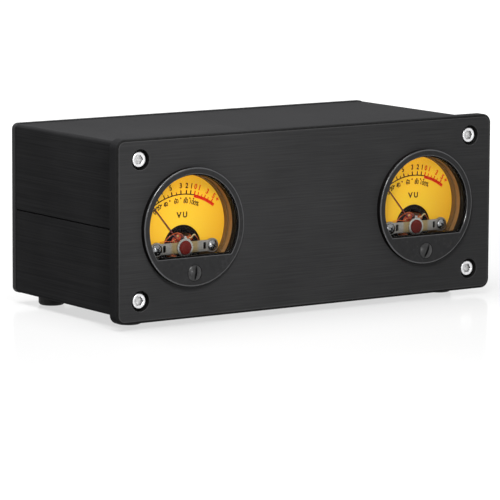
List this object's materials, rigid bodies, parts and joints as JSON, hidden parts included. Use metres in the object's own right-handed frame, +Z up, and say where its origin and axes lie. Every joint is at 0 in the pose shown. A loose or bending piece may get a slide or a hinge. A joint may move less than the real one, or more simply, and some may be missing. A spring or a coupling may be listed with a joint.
{
  "type": "analog vu meter",
  "caption": "Desktop box with round analog level meters: needles over lit amber dials, zero screws, rear signal sockets, level knob and power rocker.",
  "frame": {"origin": "on the table under the feet, at the middle of the whole box", "axes": "+Z up, the meters face -Y, +X along the front panel (to the right as seen from the front), the longest side"},
  "size_m": [0.17, 0.0946, 0.0694],
  "materials": {
    "panel_black": "brushed, black anodised",
    "shell_black": "brushed, black anodised",
    "rear_black": "matt black",
    "bright_screws": "polished",
    "black_screws": "black oxide",
    "steel_screws": "zinc plated",
    "rubber": "matt",
    "circuit_board": "satin",
    "components": "gloss",
    "lead_red": "gloss",
    "gold": "plated",
    "insulator": "satin",
    "nickel": "nickel plated",
    "black_plastic": "satin",
    "knob_black": "satin, black anodised",
    "bezel_black": "satin to gloss",
    "window": "clear",
    "tan_plastic": "satin",
    "dial_amber": "printed, lit from behind",
    "lamp_white": "satin",
    "frame_black": "satin",
    "magnet": "ground",
    "soft_iron": "zinc plated",
    "bridge_metal": "satin",
    "red_lacquer": "gloss",
    "jewel_brass": "turned",
    "copper_coil": "enamelled wire",
    "needle": "painted",
    "spring_bronze": "polished",
    "lever_silver": "polished"
  },
  "bodies": {
    "case": {"front_panel": "panel_black", "top_shell": "shell_black", "bottom_shell": "shell_black", "rear_panel": "rear_black", "panel_screws": "bright_screws", "rear_screws": "black_screws", "foot_screws": "steel_screws", "board_screws": "steel_screws", "bridge_screws": "steel_screws", "feet": "rubber", "driver_board": "circuit_board", "board_parts": "components", "leads": "lead_red", "signal_sockets": "gold", "terminals_left": "gold", "terminals_right": "gold", "socket_insulators": "insulator", "socket_nuts": "nickel", "level_control": "nickel", "supply_socket": "black_plastic", "switch_body": "black_plastic", "bezel_left": "bezel_black", "bezel_right": "bezel_black", "lens_left": "window", "lens_right": "window", "housing_left": "tan_plastic", "housing_right": "tan_plastic", "dial_left": "dial_amber", "dial_right": "dial_amber", "lamp_board_left": "lamp_white", "lamp_board_right": "lamp_white", "movement_frame_left": "frame_black", "movement_frame_right": "frame_black", "magnet_core_left": "magnet", "magnet_core_right": "magnet", "yoke_ring_left": "soft_iron", "yoke_ring_right": "soft_iron", "front_bridge_left": "bridge_metal", "front_bridge_right": "bridge_metal", "rear_bridge_left": "bridge_metal", "rear_bridge_right": "bridge_metal", "front_jewel_left": "red_lacquer", "front_jewel_right": "red_lacquer", "rear_jewel_left": "jewel_brass", "rear_jewel_right": "jewel_brass", "front_spring_left": "spring_bronze", "front_spring_right": "spring_bronze", "rear_spring_left": "spring_bronze", "rear_spring_right": "spring_bronze"},
    "movement_left": {"coil_left": "copper_coil", "pointer_left": "needle"},
    "movement_right": {"coil_right": "copper_coil", "pointer_right": "needle"},
    "lever_left": {"zero_lever_left": "lever_silver"},
    "lever_right": {"zero_lever_right": "lever_silver"},
    "zero_left": {"zero_screw_left": "bezel_black"},
    "zero_right": {"zero_screw_right": "bezel_black"},
    "knob": {"level_knob": "knob_black"},
    "rocker": {"switch_rocker": "black_plastic"}
  },
  "joints": [
    {"name": "needle_left", "type": "hinge", "parent": "case", "child": "movement_left", "pos_m": [-0.0527, -0.038, 0.0277], "axis": [0, 1, 0], "range_deg": [-2, 85], "stiffness_Nm_per_rad": 0.000002, "deforming": ["front_spring_left", "rear_spring_left"]},
    {"name": "zero_setting_left", "type": "hinge", "parent": "case", "child": "zero_left", "pos_m": [-0.0527, -0.0442, 0.01915], "axis": [0, 1, 0], "range_deg": [-40, 40]},
    {"name": "zero_lever_left", "type": "hinge", "parent": "case", "child": "lever_left", "pos_m": [-0.0527, -0.0402, 0.0277], "axis": [0, 1, 0], "range_deg": [-5, 5]},
    {"name": "needle_right", "type": "hinge", "parent": "case", "child": "movement_right", "pos_m": [0.0527, -0.038, 0.0277], "axis": [0, 1, 0], "range_deg": [-2, 85], "stiffness_Nm_per_rad": 0.000002, "deforming": ["front_spring_right", "rear_spring_right"]},
    {"name": "zero_setting_right", "type": "hinge", "parent": "case", "child": "zero_right", "pos_m": [0.0527, -0.0442, 0.01915], "axis": [0, 1, 0], "range_deg": [-40, 40]},
    {"name": "zero_lever_right", "type": "hinge", "parent": "case", "child": "lever_right", "pos_m": [0.0527, -0.0402, 0.0277], "axis": [0, 1, 0], "range_deg": [-5, 5]},
    {"name": "level_turn", "type": "hinge", "parent": "case", "child": "knob", "pos_m": [0.034, 0.04, 0.036], "axis": [0, 1, 0], "range_deg": [-150, 150]},
    {"name": "power_rock", "type": "hinge", "parent": "case", "child": "rocker", "pos_m": [0.06, 0.03648, 0.0447], "axis": [1, 0, 0], "range_deg": [-16, 0]}
  ],
  "couplings": [
    {"joint": "zero_lever_left", "follows": "zero_setting_left", "ratio": -0.124},
    {"joint": "zero_lever_right", "follows": "zero_setting_right", "ratio": -0.124}
  ]
}
